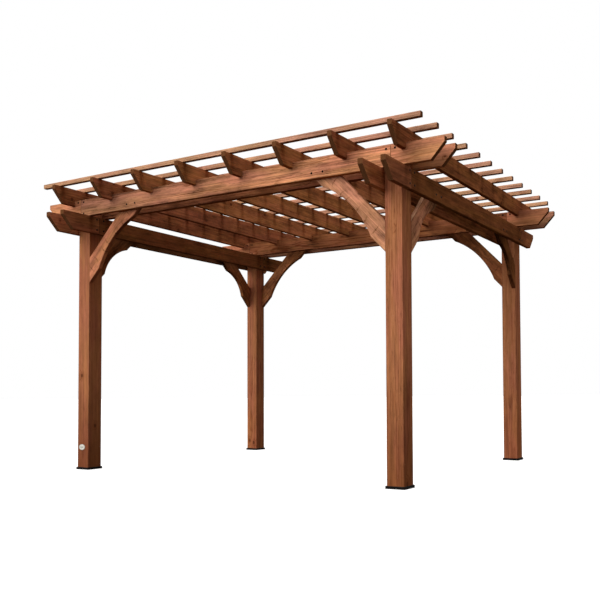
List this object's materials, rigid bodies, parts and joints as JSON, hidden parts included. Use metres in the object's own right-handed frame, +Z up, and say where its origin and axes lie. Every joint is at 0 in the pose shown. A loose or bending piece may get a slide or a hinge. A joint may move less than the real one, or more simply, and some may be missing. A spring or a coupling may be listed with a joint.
{
  "type": "wooden pergola",
  "caption": "Open wooden pergola: square posts, paired beams with sawn tails, curved knee braces, notched rafters and slats.",
  "frame": {"origin": "on the ground, at the middle of the pergola in plan", "axes": "+X along the front from left to right, +Y from the front to the back, +Z up"},
  "size_m": [4.016, 3.13, 2.568],
  "materials": {
    "post_wood": "stained, satin",
    "beam_wood": "stained, satin",
    "brace_wood": "stained, satin",
    "rafter_wood": "stained, satin",
    "slat_wood": "stained, satin",
    "plate_black": "black, matt"
  },
  "bodies": {
    "root": {"post_front_left": "post_wood", "plate_front_left": "plate_black", "brace_front_left_long": "brace_wood", "brace_front_left_short": "brace_wood", "post_front_right": "post_wood", "plate_front_right": "plate_black", "brace_front_right_long": "brace_wood", "brace_front_right_short": "brace_wood", "post_back_left": "post_wood", "plate_back_left": "plate_black", "brace_back_left_long": "brace_wood", "brace_back_left_short": "brace_wood", "post_back_right": "post_wood", "plate_back_right": "plate_black", "brace_back_right_long": "brace_wood", "brace_back_right_short": "brace_wood", "low_left_outer_span": "beam_wood", "low_left_outer_ends": "beam_wood", "low_left_inner_span": "beam_wood", "low_left_inner_ends": "beam_wood", "low_right_outer_span": "beam_wood", "low_right_outer_ends": "beam_wood", "low_right_inner_span": "beam_wood", "low_right_inner_ends": "beam_wood", "high_front_outer_span": "beam_wood", "high_front_outer_ends": "beam_wood", "high_front_inner_span": "beam_wood", "high_front_inner_ends": "beam_wood", "high_back_outer_span": "beam_wood", "high_back_outer_ends": "beam_wood", "high_back_inner_span": "beam_wood", "high_back_inner_ends": "beam_wood", "rafter_1": "rafter_wood", "rafter_2": "rafter_wood", "rafter_3": "rafter_wood", "rafter_4": "rafter_wood", "rafter_5": "rafter_wood", "rafter_6": "rafter_wood", "rafter_7": "rafter_wood", "rafter_8": "rafter_wood", "slats_1_to_3": "slat_wood", "slats_4_to_6": "slat_wood", "slats_7_to_9": "slat_wood", "slats_10_to_12": "slat_wood"}
  },
  "joints": []
}
